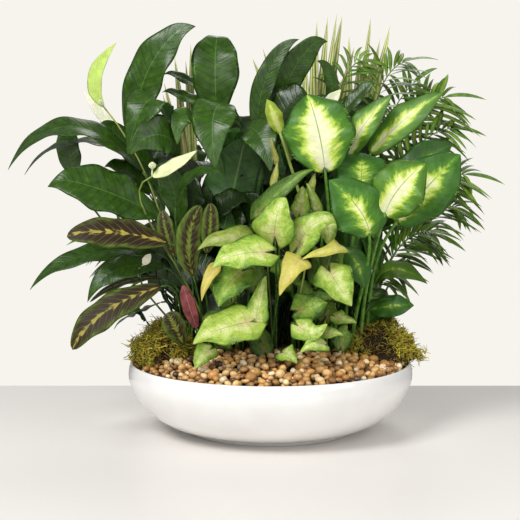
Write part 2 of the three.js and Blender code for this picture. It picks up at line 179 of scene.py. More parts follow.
def herringbone(tree, share, veins, blotch, spot, along, shift):
    """Two ways that one plant is marked: at shift 0 a dark brown blade with a narrow broken yellow band down the
    middle and a green edge, at shift 1 olive with long brown blotches each side of a green middle."""
    tooth = node(tree, "ShaderNodeMath", {0: veins, 1: 0.12}, operation="MULTIPLY").outputs[0]
    drawn = node(tree, "ShaderNodeMapping", {"Vector": spot, "Scale": (1.2, 2.6, 5.0)}).outputs[0]
    cloud = node(tree, "ShaderNodeTexNoise", {"Vector": drawn, "Scale": 1.0, "Detail": 4.0}).outputs[0]
    broken = node(tree, "ShaderNodeMath", {0: cloud, 1: 1.05, 2: -0.47}, operation="MULTIPLY_ADD").outputs[0]
    pushed = node(tree, "ShaderNodeMath", {0: share, 1: tooth}, operation="SUBTRACT").outputs[0]
    mixed = node(tree, "ShaderNodeMath", {0: pushed, 1: broken}, operation="ADD").outputs[0]
    brown = node(tree, "ShaderNodeValToRGB", {0: mixed}, stops=[
        (0.0, "a3953f"), (0.05, "7a7230"), (0.12, "2e220d"), (0.55, "251a09"), (0.74, "34320f"),
        (1.0, "50651f")]).outputs[0]
    olive = node(tree, "ShaderNodeValToRGB", {0: mixed}, stops=[
        (0.0, "6c7a2a"), (0.12, "50611d"), (0.22, "2a210f"), (0.46, "33260f"), (0.60, "45561a"),
        (1.0, "5a7428")]).outputs[0]
    return node(tree, "ShaderNodeMix", {0: shift, 6: brown, 7: olive}, data_type="RGBA").outputs[2]


def lime_and_cream(tree, share, veins, blotch, spot, along, shift):
    """Lime blade clouded with cream over a net of veins about 3 mm across, and flushed pink by the stalk."""
    place = node(tree, "ShaderNodeTexCoord").outputs["Object"]
    cells = node(tree, "ShaderNodeTexVoronoi", {"Vector": place, "Scale": 300.0},
                 feature="DISTANCE_TO_EDGE").outputs[0]
    net = node(tree, "ShaderNodeMapRange", {0: cells, 1: 0.0, 2: 0.14, 3: 0.10, 4: 0.0}).outputs[0]
    drawn = node(tree, "ShaderNodeMapping", {"Vector": spot, "Scale": (0.7, 1.5, 5.0)}).outputs[0]
    mist = node(tree, "ShaderNodeTexNoise", {"Vector": drawn, "Scale": 1.0, "Detail": 6.0,
                                             "Roughness": 0.68}).outputs[0]
    cloud = node(tree, "ShaderNodeMath", {0: mist, 1: 1.3, 2: -0.52}, operation="MULTIPLY_ADD").outputs[0]
    greener = node(tree, "ShaderNodeMath", {0: shift, 1: 0.9, 2: -0.35}, operation="MULTIPLY_ADD").outputs[0]
    first = node(tree, "ShaderNodeMath", {0: share, 1: 0.5, 2: cloud}, operation="MULTIPLY_ADD").outputs[0]
    second = node(tree, "ShaderNodeMath", {0: greener, 1: net}, operation="ADD").outputs[0]
    mixed = node(tree, "ShaderNodeMath", {0: first, 1: second}, operation="ADD").outputs[0]
    lime = node(tree, "ShaderNodeValToRGB", {0: mixed}, stops=[
        (0.02, "d6d6a4"), (0.22, "c0cd7c"), (0.42, "9fb84e"), (0.64, "769a34"), (0.85, "557c26"),
        (1.0, "42621c")]).outputs[0]
    from_stalk = node(tree, "ShaderNodeMath", {0: along, 1: 1.6, 2: share}, operation="MULTIPLY_ADD").outputs[0]
    flush = node(tree, "ShaderNodeMapRange", {0: from_stalk, 1: 0.05, 2: 0.55, 3: 0.55, 4: 0.0}).outputs[0]
    return node(tree, "ShaderNodeMix", {0: flush, 6: lime, 7: hue("b98f78")}, data_type="RGBA").outputs[2]


def striped(tree, share, veins, blotch, spot, along, shift):
    """Green bands along a cream blade, with a tan edge."""
    return node(tree, "ShaderNodeValToRGB", {0: share}, stops=[
        (0.0, "5f8630"), (0.20, "82a046"), (0.34, "d3d58e"), (0.60, "e2dfa8"), (0.76, "829c46"),
        (0.90, "bdb06f"), (1.0, "ab7f52")]).outputs[0]


# Peace lily, mature blade: thick cuticle, so it gives clear soft highlights over deep green.
LILY_TOP = leaf_material("peace_lily_glossy_leaf",
                         plain_blade((0.2, "213c08"), (0.5, "2e4f0b"), (0.85, "406714")),
                         "54792e", 0.024, "1c3407", 0.38, 0.31, 0.28, coat=0.12, warm="6a9230", glow=0.02,
                         vein_weight=0.42, tone_and_shade_range=0.75)
# Its underside: no cuticle shine, paler, with the veins standing up.
LILY_UNDER = leaf_material("peace_lily_matt_underside", plain_blade((0.25, "34601f"), (0.7, "47772e")),
                           "7da250", 0.05, "3d6a2f", 0.3, 0.5, 0.35, warm="7fa048")
# Prayer plant: a velvety skin that scatters light and hardly shines.
PRAYER_TOP = leaf_material("prayer_plant_velvet_leaf", herringbone, "7d6f30", 0.016, "9a8848", 0.08, 0.52, 0.3,
                           warm="6a5a22", vein_weight=0.22, ior=1.30)
# Its underside: wine red, as all prayer plants are beneath.
PRAYER_UNDER = leaf_material("prayer_plant_wine_underside", plain_blade((0.25, "5a2424"), (0.7, "84403f")),
                             "b07874", 0.04, "6a2c2c", 0.2, 0.5, 0.3, warm="6f4a33")
# Arrowhead: thin soft blade with a satin skin, netted with fine veins.
ARROW_TOP = leaf_material("arrowhead_satin_leaf", lime_and_cream, "5d7c2e", 0.018, "6f8c38", 0.05, 0.42, 0.35,
                          warm="cbb257", vein_weight=0.3, ior=1.33)
# Its underside: duller and paler, with no cream.
ARROW_UNDER = leaf_material("arrowhead_pale_underside", plain_blade((0.25, "87a050"), (0.7, "9fb467")),
                            "b9c284", 0.05, "8fa45c", 0.2, 0.5, 0.3, warm="c6ad5c")
# Dumb cane: fleshy blade, smooth and a little waxy, cream where it holds no green.
CANE_TOP = leaf_material("dumb_cane_variegated_leaf", cream_centre, "5e8a34", 0.022, "4d8026", 0.05, 0.40, 0.25,
                         warm="b3bd42", vein_weight=0.15, ior=1.34)
# Its underside: even mid green without the waxy shine.
CANE_UNDER = leaf_material("dumb_cane_underside", plain_blade((0.25, "668f38"), (0.7, "88ab50")),
                           "adc074", 0.05, "789c46", 0.2, 0.5, 0.3, warm="a2b64c")
# Parlour palm: hard thin leaflets, glossy along their fold.
PALM_SKIN = leaf_material("palm_leaflet", plain_blade((0.25, "335c12"), (0.7, "547c22")), "7c9a40", 0.06,
                          "2f5514", 0.2, 0.34, 0.25, warm="9cae44", tone_and_shade_range=0.65)
# Leaf stalks: smooth, round and juicy.
STALK_SKIN = leaf_material("leaf_stalk", plain_blade((0.25, "2f5216"), (0.7, "4c7426")), "4c7426", 0.0,
                           "406422", 0.1, 0.38, 0.2, warm="a9b45e", tone_and_shade_range=0.8)
# Striped blades: dry and ribbed lengthwise.
STRIPED_SKIN = leaf_material("striped_blade", striped, "6d8f3f", 0.0, "c9cf95", 0.1, 0.42, 0.25, warm="b8a860")
# Spathe: thin waxy white leaf, which glows where light comes through and greens with age.
SPATHE_SKIN = leaf_material("spathe_skin", plain_blade((0.25, "eae9cc"), (0.7, "f4f2dc")), "dfe6bd", 0.05,
                            "dde2bc", 0.15, 0.42, 0.3, warm="a9c842", glow=0.3, tone_and_shade_range=0.15)


def grain_material(name, stops, scale, rough, bump):
    """Loose natural stuff: each grain has its own colour, under speckle finer than the grain."""
    material, tree = new_material(name)
    place = node(tree, "ShaderNodeTexCoord").outputs["Object"]
    own = node(tree, "ShaderNodeAttribute", attribute_name="tint").outputs["Color"]
    speck = node(tree, "ShaderNodeTexNoise", {"Vector": place, "Scale": scale, "Detail": 4.0}).outputs[0]
    shade = node(tree, "ShaderNodeValToRGB", {0: speck}, stops=stops).outputs[0]
    colour = node(tree, "ShaderNodeMix", {0: 1.0, 6: own, 7: shade}, data_type="RGBA",
                  blend_type="MULTIPLY").outputs[2]
    lumps = node(tree, "ShaderNodeBump", {"Strength": bump, "Distance": 0.0006, "Height": speck}).outputs[0]
    finished(tree, {"Base Color": colour, "Roughness": rough, "Normal": lumps})
    return material


# River pebble, tumbled smooth and washed: each keeps a wet-looking sheen over its own mineral colour.
PEBBLE = grain_material("tumbled_river_pebble", [(0.3, grey(0.72)), (0.5, grey(0.97)), (0.75, grey(1.22))],
                        520.0, 0.24, 0.25)
# Dried forest moss: fine curled shoots with no sheen.
MOSS = grain_material("dried_forest_moss", [(0.3, grey(0.7)), (0.7, grey(1.25))], 700.0, 0.9, 0.2)
# Damp potting soil: crumbs of peat and bark that hardly reflect.
SOIL = grain_material("damp_potting_soil", [(0.3, grey(0.6)), (0.7, grey(1.3))], 260.0, 0.95, 0.9)


def glaze_material():
    """White stoneware glaze, fired to a clear gloss: a milky body under a smooth coat, with the faint
    unevenness of glaze that pooled, about 50 mm across."""
    material, tree = new_material("white_stoneware_glaze")
    place = node(tree, "ShaderNodeTexCoord").outputs["Object"]
    pooled = node(tree, "ShaderNodeTexNoise", {"Vector": place, "Scale": 18.0, "Detail": 2.0}).outputs[0]
    colour = node(tree, "ShaderNodeValToRGB", {0: pooled}, stops=[(0.3, "ebe9e7"), (0.7, "f2f1ef")]).outputs[0]
    ripple = node(tree, "ShaderNodeTexNoise", {"Vector": place, "Scale": 60.0, "Detail": 1.0}).outputs[0]
    bump = node(tree, "ShaderNodeBump", {"Strength": 0.05, "Distance": 0.0008, "Height": ripple}).outputs[0]
    finished(tree, {"Base Color": colour, "Roughness": 0.14, "Normal": bump, "IOR": 1.5, "Coat Weight": 0.5,
                    "Coat Roughness": 0.05})
    return material


GLAZE = glaze_material()


# ---- making pieces -------------------------------------------------------------------------------------

def in_scene(name, data):
    """A new object that shows in the scene."""
    made = bpy.data.objects.new(name, data)
    bpy.context.scene.collection.objects.link(made)
    return made


def meshed(name, bm, materials):
    """The mesh worked out so far, with its materials, as an object."""
    mesh = bpy.data.meshes.new(name)
    bm.to_mesh(mesh)
    bm.free()
    for material in materials:
        mesh.materials.append(material)
    return in_scene(name, mesh)


def piece(name, bm, materials, slot, replaced=()):
    """A finished mesh on the one body, standing for the CAD nodes that it replaces."""
    for face in bm.faces:
        face.smooth = True
    made = meshed(name, bm, materials)
    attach(made, "root")
    if replaced:
        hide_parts(*replaced)
    return made


def tinted():
    """An empty mesh whose points each carry a colour or a tint."""
    bm = bmesh.new()
    bm.verts.layers.float_color.new("tint")
    return bm


def start():
    """An empty mesh with the maps that every leaf carries."""
    bm = tinted()
    bm.loops.layers.uv.new("leaf")
    bm.loops.layers.uv.new("veins")
    return bm


def split(u):
    """Across a skin from -1 to 1, and which side of it: 1 on top, -1 beneath."""
    return (1 - 4 * u, 1) if u <= 0.5 else (4 * u - 3, -1)


def scattered(chance, reach):
    """A random place within reach of the bowl's middle, and how far out it is."""
    turn, out = chance.uniform(0, TURN), reach * chance.random() ** 0.5
    return out * math.cos(turn), out * math.sin(turn), out


def skin(bm, columns, rows, place, tint=(0.5, 0.0, 0.5), veins=None, slots=(0, 0)):
    """A closed skin: a grid rolled round from u = 0 to 1, its seam joined and its ends drawn shut.
    place(u, v) says where each point goes, and veins(u, v) what its vein map holds."""
    flat = bmesh.ops.create_grid(bm, x_segments=columns, y_segments=rows, size=1)["verts"]
    leaf_map, vein_map = bm.loops.layers.uv["leaf"], bm.loops.layers.uv["veins"]
    tints = bm.verts.layers.float_color["tint"]
    faces = {face for vert in flat for face in vert.link_faces}
    for face in faces:
        for loop in face.loops:
            u, v = (loop.vert.co.x + 1) / 2, (loop.vert.co.y + 1) / 2
            loop[leaf_map].uv = (u, v)
            loop[vein_map].uv = veins(u, v) if veins else (v * 4, 0.5)
        middle = sum(loop[leaf_map].uv.x for loop in face.loops) / len(face.loops)
        face.material_index = slots[0] if middle < 0.5 else slots[1]
    for vert in flat:
        u, v = (vert.co.x + 1) / 2, (vert.co.y + 1) / 2
        vert.co = place(u, v) * MM
        vert[tints] = (*tint, 1.0)
    bmesh.ops.remove_doubles(bm, verts=flat, dist=1e-6)
    return flat


def frames_along(points, tangents, middle, face):
    """The normal at each point, facing `face` at the middle one and carried both ways from it."""
    def across(n, t):
        return (n - t * n.dot(t)).normalized()
    normals = [None] * len(points)
    normals[middle] = across(Vector(face), tangents[middle])
    for i in range(middle + 1, len(points)):
        normals[i] = across(normals[i - 1], tangents[i])
    for i in range(middle - 1, -1, -1):
        normals[i] = across(normals[i + 1], tangents[i])
    return [(p, t, n, t.cross(n)) for p, t, n in zip(points, tangents, normals)]


def rib_of(neck, mid, tip):
    """Where the midrib is and which way it runs, at a share of its length."""
    n, m, t = Vector(neck), Vector(mid), Vector(tip)
    bow = m * 2 - n * 0.5 - t * 0.5
    return (lambda s: n * (1 - s) ** 2 + bow * (2 * s * (1 - s)) + t * s * s,
            lambda s: ((bow - n) * (1 - s) + (t - bow) * s).normalized())


def tube(bm, points, radius, tint=(0.5, 0.0, 0.5), sides=7, slot=0):
    """A stalk through points, a little thinner towards its end. radius(v) is in millimetres."""
    tangents = []
    for i in range(len(points)):
        ahead, behind = points[min(i + 1, len(points) - 1)], points[max(i - 1, 0)]
        tangents.append((ahead - behind).normalized())
    side = (0.3, -1, 0.2) if abs(tangents[0].y) < 0.9 else (1, 0, 0.2)
    spine = frames_along(points, tangents, 0, side)
    rows = len(points) + 1

    def place(u, v):
        step = round(v * rows)
        end = step in (0, rows)
        p, t, n, a = spine[min(max(step - 1, 0), len(points) - 1)]
        r = 0 if end else radius((step - 1) / max(1, len(points) - 1))
        turn = 2 * math.pi * u
        return p + (n * math.sin(turn) + a * math.cos(turn)) * r

    return skin(bm, sides, rows, place, tint, slots=(slot, slot))


def stalk_points(root, neck, lead, count=12):
    """Up from the soil and over into the blade."""
    foot = Vector((root[0], root[1], ground(*root) - SINK))
    n = Vector(neck)
    reach = (n - foot).length
    rise, last = foot + Vector((0, 0, 0.4 * reach)), n - lead * 0.3 * reach
    out = []
    for i in range(count + 1):
        s = i / count
        out.append(foot * (1 - s) ** 3 + rise * 3 * s * (1 - s) ** 2 + last * 3 * s * s * (1 - s) + n * s**3)
    return out


# How a kind of leaf is shaped. outline is the half-width along the blade as a share of the widest; fold lifts
# the edges, lobe swings the base back past the stalk, wave ruffles the margin, quilt sinks the side veins.
def lance_outline(t):
    return math.sin(math.pi * t**0.9) ** (0.72 + 0.15 * t) if 0 < t < 1 else 0


def egg_outline(t):
    return 0.12 * (1 - t) ** 6 + math.sin(math.pi * t**0.94) ** (0.56 + 0.34 * t) if 0 <= t < 1 else 0


def oblong_outline(t):
    return math.sin(math.pi * t) ** 0.5 * (1 - 0.15 * t**4) if 0 < t < 1 else 0


def arrow_outline(t):
    base = 0.30 + 0.70 * math.sin(math.pi / 2 * min(1.0, t / 0.17))
    taper = ((1 - t) / 0.80) ** 0.82 * (1 + 0.30 * (t - 0.2)) if t > 0.2 else 1
    return base * taper if t < 1 else 0


KINDS = {
    "lily": dict(outline=lance_outline, fold=0.18, lobe=0, wave=0.05, waves=3.4, hook=9, quilt=0.55, count=13,
                 slant=1.5, rows=52, columns=14, stalk=1.5, stalk_tone_and_shade=-0.15, skins=(LILY_TOP, LILY_UNDER)),
    "prayer": dict(outline=oblong_outline, fold=0.08, lobe=0, wave=0.04, waves=3, hook=2, quilt=0.3, count=12,
                   slant=2.2, rows=44, columns=12, stalk=1.1, stalk_tone_and_shade=0, skins=(PRAYER_TOP, PRAYER_UNDER)),
    "arrow": dict(outline=arrow_outline, fold=0.20, lobe=0.34, wave=0.10, waves=1.4, hook=5, quilt=0.4, count=7,
                  slant=1.0, rows=40, columns=14, stalk=1.2, stalk_tone_and_shade=0.1, skins=(ARROW_TOP, ARROW_UNDER)),
    "cane": dict(outline=egg_outline, fold=0.14, lobe=0.07, wave=0.06, waves=2.6, hook=2, quilt=0.35, count=14,
                 slant=2.6, rows=48, columns=14, stalk=2.4, stalk_tone_and_shade=0.3, skins=(CANE_TOP, CANE_UNDER)),
    "spathe": dict(outline=lance_outline, fold=0.30, lobe=0, wave=0.02, waves=2, hook=0, quilt=0, count=6,
                   slant=2.0, rows=24, columns=10, stalk=1.3, stalk_tone_and_shade=0, skins=(SPATHE_SKIN, SPATHE_SKIN)),
}
# Shaded copies for leaves deep in the planting: coarser grids, and stalks painted darker for the shade they stand
# in.
for shaded in ("lily", "arrow", "cane"):
    KINDS[shaded + "_shaded"] = dict(KINDS[shaded], rows=26, columns=8, stalk_tone_and_shade=-0.3)


def blade(bm, kind, neck, mid, tip, width, face, seed, tint):
    """A leaf blade: a thin closed skin, top and underside, round its midrib."""
    k = KINDS[kind]
    droop = k["hook"] * min(1.0, (Vector(tip) - Vector(neck)).length / 90)
    chance = random.Random(seed)
    phase, bias = chance.uniform(0, 6.28), chance.uniform(-0.05, 0.05)
    point, heading = rib_of(neck, mid, tip)
    rows, columns = k["rows"], k["columns"]
    shares = [i / rows for i in range(rows + 1)]
    spine = frames_along([point(s) for s in shares], [heading(s) for s in shares], rows // 2, face)

    def place(u, v):
        step = round(v * rows)
        s = step / rows
        across, top = split(u)
        p, t, n, a = spine[step]
        ragged = 1 + 0.035 * math.sin(17 * s + phase + 2 * across) + bias
        half = k["outline"](s) * width / 2 * ragged
        edge = abs(across)
        lift = k["fold"] * half * edge**1.15 - 0.10 * half * edge**3
        ruffle = k["wave"] * width * edge**2 * math.sin(2 * math.pi * k["waves"] * s + phase + (across > 0) * 1.9)
        ruffle *= math.sin(math.pi * min(1, s * 1.05))
        vein = s * k["count"] - edge * k["slant"]
        sunk = -k["quilt"] * (0.5 + 0.5 * math.cos(2 * math.pi * vein)) ** 3 * edge**0.5 * (1 - edge**4)
        thick = 0 if edge > 0.999 or step in (0, rows) else 0.28 * (1 - 0.75 * edge**2) * top
        back = k["lobe"] * width * max(0.0, 1 - s / 0.36) ** 2 * math.sin(0.72 * math.pi * edge) ** 1.3
        hook = Vector((0, 0, -droop * max(0.0, s - 0.8) ** 2 * 25))
        return p + hook + a * (across * half) + n * (lift + ruffle + sunk + thick) - t * back

    def veins(u, v):
        across, _ = split(u)
        return (v * k["count"] - abs(across) * k["slant"], abs(across))

    return skin(bm, columns * 2, rows, place, tint, veins, slots=(0, 1))


def leaf(bm, kind, root, neck, mid, tip, width, face, seed, tint):
    """A blade on its stalk."""
    blade(bm, kind, neck, mid, tip, width, face, seed, tint)
    heading = rib_of(neck, mid, tip)[1]
    # The stalk takes the blade's lightness, shifted paler or darker by kind; the shaded kinds' darker stalks are
    # painted shade.
    size, light = KINDS[kind]["stalk"], max(0.0, min(1.0, tint[0] + KINDS[kind]["stalk_tone_and_shade"]))
    tube(bm, stalk_points(root, neck, heading(0)), lambda v: size * (1 - 0.35 * v), (light, tint[1], 0.5), slot=2)


def leaf_piece(name, kind, slot, rows, replaced=(), seed=1):
    """One or more leaves as one piece. Each row: root, neck, mid, tip, width, face, and its tint."""
    bm = start()
    for i, (root, neck, mid, tip, width, face, tint) in enumerate(rows):
        leaf(bm, kind, root, neck, mid, tip, width, face, seed * 31 + i, tint)
    bmesh.ops.recalc_face_normals(bm, faces=bm.faces)
    return piece(name, bm, [*KINDS[kind]["skins"], STALK_SKIN], slot, replaced)


def row(root, neck, mid, tip, width, face, light=0.5, warm=0.0, green=0.4):
    """light runs from a dark leaf at 0 to a pale one at 1, partly the leaf's own tone and partly painted shade
    for leaves that stand in shadow; warm is how far it has yellowed, and green how far its green margin or
    clouding reaches in."""
    return (root, neck, mid, tip, width, face, (light, warm, green))


# ---- planting plan: close to the CAD leaves; a few points are up to 10 mm off to sit better ------------
PEACE_LILY = [
    row([-92, 44], [-148, 42, 300], [-132, 34, 384], [-80, 28, 440], 48, [-3, -9, 3], 0.5),
    row([-60, 40], [-58, 52, 330], [-60, 44, 392], [-57, 74, 430], 54, [0.5, -10, 1], 0.5),
    row([-96, 14], [-136, -2, 276], [-206, -16, 324], [-276, -20, 288], 36, [0, -5, 8], 0.35),
    row([-90, 2], [-116, -20, 230], [-176, -44, 260], [-230, -50, 272], 56, [-1, -7, 6], 0.45),
    row([-80, 26], [-120, 28, 268], [-156, 24, 306], [-186, 18, 334], 30, [2, -8, 5], 0.4),
    row([-74, 10], [-96, 4, 296], [-116, -24, 316], [-146, -42, 302], 44, [0, -10, 3], 0.45),
    row([-48, 22], [-46, 22, 348], [-60, -12, 336], [-58, -28, 286], 50, [0, -8, 6], 0.55),
    row([-30, 20], [-28, 16, 322], [-12, -8, 316], [0, -24, 283], 36, [-2, -8, 5], 0.5),
    row([-104, 6], [-122, -4, 190], [-188, -16, 191], [-254, -26, 162], 30, [0, -6, 8], 0.4),
    row([-86, -14], [-112, -34, 178], [-156, -46, 178], [-190, -54, 152], 30, [-1, -8, 5], 0.4),
    row([-14, 30], [-12, 30, 306], [-6, 26, 372], [31, 24, 426], 24, [-2, -9, 1], 0.4),
    row([4, 42], [8, 42, 336], [28, 38, 390], [62, 34, 424], 30, [3, -9, 2], 0.45),
    row([-50, 66], [-84, 110, 250], [-110, 150, 292], [-132, 188, 262], 52, [-4, 2, 8], 0.45),
    row([10, 72], [16, 120, 270], [22, 160, 318], [34, 196, 296], 54, [1, -2, 9], 0.45),
    row([54, 68], [92, 108, 214], [116, 142, 248], [150, 176, 222], 50, [4, 2, 8], 0.45),
]
PRAYER_PLANT = [
    row([-84, -28], [-106, -56, 206], [-160, -72, 218], [-207, -78, 216], 36, [0, -8.5, 5], 0.5, 0.0, 0.0),
    row([-96, -20], [-114, -52, 160], [-170, -70, 136], [-203, -78, 100], 36, [-2, -8.5, 5], 0.5, 0.0, 0.15),
    row([-72, -30], [-80, -60, 172], [-84, -62, 210], [-72, -60, 246], 28, [2, -10, 0], 0.4, 0.0, 1.0),
    row([-62, -34], [-76, -66, 118], [-84, -68, 142], [-90, -64, 164], 15, [-1, 10, 0]),
]
ARROWHEAD = [
    row([-14, -40], [-21, -100, 130], [-50, -115, 125], [-78, -120, 114], 54, [-1, -7.5, 6.5], 0.55, 0.05),
    row([0, -36], [-6, -88, 199], [-33, -102, 198], [-59, -105, 188], 50, [0, -7, 7], 0.6),
    row([6, -20], [4, -72, 214], [6, -80, 236], [15, -76, 256], 46, [-2, -9, 4], 0.55),
    row([30, -24], [27, -70, 203], [45, -80, 228], [68, -82, 231], 38, [-2, -8.5, 5], 0.5),
    row([22, -36], [30, -92, 192], [20, -108, 184], [8, -113, 160], 30, [-1, -9, 4], 0.55, 0.62),
    row([52, -30], [60, -84, 178], [69, -98, 164], [81, -100, 148], 44, [1, -8.5, 5], 0.5),
    row([38, -36], [28, -88, 140], [42, -96, 146], [57, -94, 150], 34, [1, -9, 3], 0.35, 0.0, 0.75),
    row([-30, -30], [-30, -76, 178], [-44, -92, 166], [-53, -98, 147], 44, [-1, -9, 4], 0.4, 0.0, 0.7),
    row([-20, -12], [-15, -48, 232], [8, -56, 258], [46, -50, 286], 26, [-4, -8.5, 3], 0.25, 0.0, 0.85),
]
DUMB_CANE = [
    row([66, 4], [56, -38, 282], [49, -36, 322], [38, -12, 360], 78, [-1, -9, 4.5], 0.5, 0.0, 0.15),
    row([74, 16], [84, -4, 295], [99, -4, 326], [128, -4, 358], 34, [-5, -8, 2], 0.6, 0.05, 0.35),
    row([90, 24], [108, 6, 297], [141, 6, 330], [184, 6, 362], 36, [-3, -8.5, 4], 0.65, 0.05, 0.5),
    row([80, -4], [93, -32, 258], [95, -30, 280], [96, -8, 298], 58, [0, -9.5, 3], 0.5, 0.0, 0.8),
    row([86, -20], [100, -73, 217], [88, -80, 243], [58, -76, 273], 57, [-1, -9, 4], 0.55, 0.0, 0.66),
    row([96, -12], [116, -76, 238], [129, -86, 264], [156, -82, 290], 58, [-1, -9, 4], 0.52, 0.05, 0.3),
    row([104, -2], [132, -42, 228], [162, -50, 264], [196, -42, 298], 62, [1, -9, 4], 0.5, 0.0, 0.6),
    row([70, -18], [78, -44, 198], [90, -54, 181], [97, -52, 158], 26, [0, -9, 3], 0.3, 0.0, 1.0),
    row([100, 8], [112, -6, 158], [132, -16, 174], [166, -22, 160], 28, [1, -6, 8], 0.3, 0.1, 1.0),
    row([118, 10], [108, -10, 130], [129, -20, 135], [152, -22, 137], 28, [0, -8, 5], 0.3, 0.0, 1.0),
]
PLANTS = [
    ("peace_lily_leaf", "lily", PEACE_LILY),
    ("prayer_plant_leaf", "prayer", PRAYER_PLANT),
    ("arrowhead_leaf", "arrow", ARROWHEAD),
    ("dumb_cane_leaf", "cane", DUMB_CANE),
]
for stem, kind, rows in PLANTS:
    for i, one in enumerate(rows):
        label = f"{stem}_{i + 1}"
        leaf_piece(label + "_living", kind, stem, [one], [label], seed=i + 1)

# ---- leaves that the CAD model has no node for ---------------------------------------------------------
MORE = {
    ("peace_lily_more", "lily", "peace_lily_leaf"): [
        row([-84, 30], [-110, 20, 330], [-128, -10, 352], [-150, -20, 300], 50, [-.4, -.8, .5], 0.5),
        row([-90, 36], [-150, 20, 290], [-205, 10, 308], [-262, 0, 282], 30, [0, -.2, .98], 0.35),
        row([-98, 34], [-212, 30, 270], [-218, 25, 300], [-221, 25, 338], 26, [-.2, -1, 0], 0.4),
        row([-88, 22], [-130, 20, 250], [-152, 15, 275], [-178, 10, 287], 28, [0, -.6, .8], 0.4),
        row([-60, 16], [-70, 10, 320], [-92, -5, 335], [-98, -15, 308], 26, [0, -.8, .5], 0.75),
        # Painted shade: a leaf behind the others, made dark for the shadow it stands in.
        row([-44, 6], [-50, -5, 215], [-38, 20, 265], [-25, 15, 322], 60, [0, 1, 0], 0.1),
        # Painted shade: a leaf made almost black, to fill the gap behind the stalks with shadow.
        row([20, 40], [14, 46, 98], [18, 44, 140], [16, 42, 190], 46, [0, -1, .1], 0.02),
        row([-66, -6], [-100, -25, 240], [-85, -35, 272], [-48, -40, 281], 20, [0, -.5, .85], 0.5),
        row([-70, 12], [-95, 0, 220], [-105, -5, 262], [-120, -5, 292], 30, [0, -.8, .5], 0.4),
        row([-88, 18], [-118, 10, 135], [-145, 0, 126], [-168, -5, 113], 30, [0, -.3, -.95], 0.7),
        row([-52, 44], [-60, 40, 345], [-90, 45, 355], [-118, 45, 367], 18, [0, -.6, .8], 0.4),
        row([-50, 50], [-55, 50, 355], [-88, 50, 373], [-118, 50, 386], 16, [0, -.6, .8], 0.4),
        row([50, 46], [62, 45, 345], [66, 40, 375], [50, 35, 400], 16, [0, -.9, .4], 0.4),
        row([52, 40], [70, 30, 330], [92, 28, 355], [113, 25, 376], 18, [0, -.7, .7], 0.4),
    ],
    ("prayer_plant_more", "prayer", "prayer_plant_leaf"): [
        row([-84, -22], [-114, -30, 165], [-150, -40, 164], [-188, -50, 145], 22, [0, -.2, 1], 0.4, 0.0, 0.3),
        row([-62, -30], [-66, -60, 195], [-62, -62, 225], [-62, -60, 248], 18, [.1, -1, 0], 0.35, 0.0, 1.0),
        row([-76, -26], [-100, -50, 190], [-108, -55, 218], [-112, -50, 240], 18, [-.1, -1, 0], 0.35, 0.0, 1.0),
        row([-80, -34], [-90, -60, 100], [-100, -64, 122], [-108, -62, 134], 24, [0, -.9, .4], 0.4, 0.0, 0.7),
    ],
    ("arrowhead_more", "arrow", "arrowhead_leaf"): [
        row([50, -26], [70, -70, 205], [62, -85, 202], [30, -95, 195], 22, [0, -.8, .6], 0.55, 0.5),
        row([24, -40], [27, -100, 126], [42, -112, 122], [56, -108, 131], 26, [0, -.8, .6], 0.5),
        row([44, -40], [54, -105, 108], [42, -118, 110], [28, -120, 103], 20, [0, -.8, .6], 0.5),
        row([10, -44], [12, -95, 98], [18, -105, 97], [26, -108, 90], 22, [0, -.8, .6], 0.45),
        row([-36, -34], [-54, -85, 186], [-64, -95, 172], [-70, -95, 152], 14, [0, -.9, .4], 0.55, 0.7),
        row([-22, -24], [-20, -60, 205], [-42, -70, 213], [-75, -75, 203], 34, [0, -.7, .7], 0.2, 0.1),
        row([26, -16], [30, -40, 235], [32, -45, 250], [33, -45, 265], 20, [0, -.9, .4], 0.4),
        row([46, -16], [50, -30, 235], [44, -35, 252], [37, -35, 268], 12, [0, -.9, .4], 0.45),
        row([-8, -42], [-15, -95, 130], [-12, -90, 150], [-5, -85, 178], 24, [0, -.9, .4], 0.4),
        row([-34, -36], [-30, -85, 138], [-50, -92, 130], [-72, -90, 112], 20, [0, -.8, .6], 0.35),
        row([50, -22], [58, -50, 228], [59, -55, 216], [60, -60, 203], 24, [0, -.9, .4], 0.6),
        row([-46, -38], [-62, -90, 100], [-70, -100, 94], [-76, -104, 84], 24, [0, -.8, .6], 0.4),
        row([58, -30], [66, -60, 130], [76, -70, 128], [88, -72, 126], 18, [0, -.8, .6], 0.4),
        row([48, -34], [50, -70, 112], [62, -80, 116], [74, -80, 114], 16, [0, -.8, .6], 0.4),
    ],
    ("arrowhead_shoot", "arrow", "arrowhead_leaf"): [
        row([2, 0], [2, -20, 262], [5, -22, 275], [7, -20, 289], 9, [-.3, -.9, .1], 0.3, 0.3),
        row([4, 0], [6, -20, 286], [3, -22, 300], [0, -20, 315], 8, [.4, -.9, .1], 0.28, 0.35),
        row([38, -6], [40, -30, 252], [43, -32, 265], [47, -30, 279], 10, [.3, -.9, .1], 0.3, 0.25),
    ],
    ("dumb_cane_more", "cane", "dumb_cane_leaf"): [
        row([60, 0], [10, -10, 318], [4, -12, 335], [-4, -10, 354], 18, [0, -.9, .4], 0.5, 0.5),
        row([106, 10], [130, -10, 250], [160, -8, 286], [192, -6, 306], 40, [0, -.9, .4], 0.15, 0.0, 1.0),
    ],
}
for (stem, kind, slot), rows in MORE.items():
    for i, one in enumerate(rows):
        leaf_piece(f"{stem}_{i + 1}", kind, slot, [one], seed=i + 50)

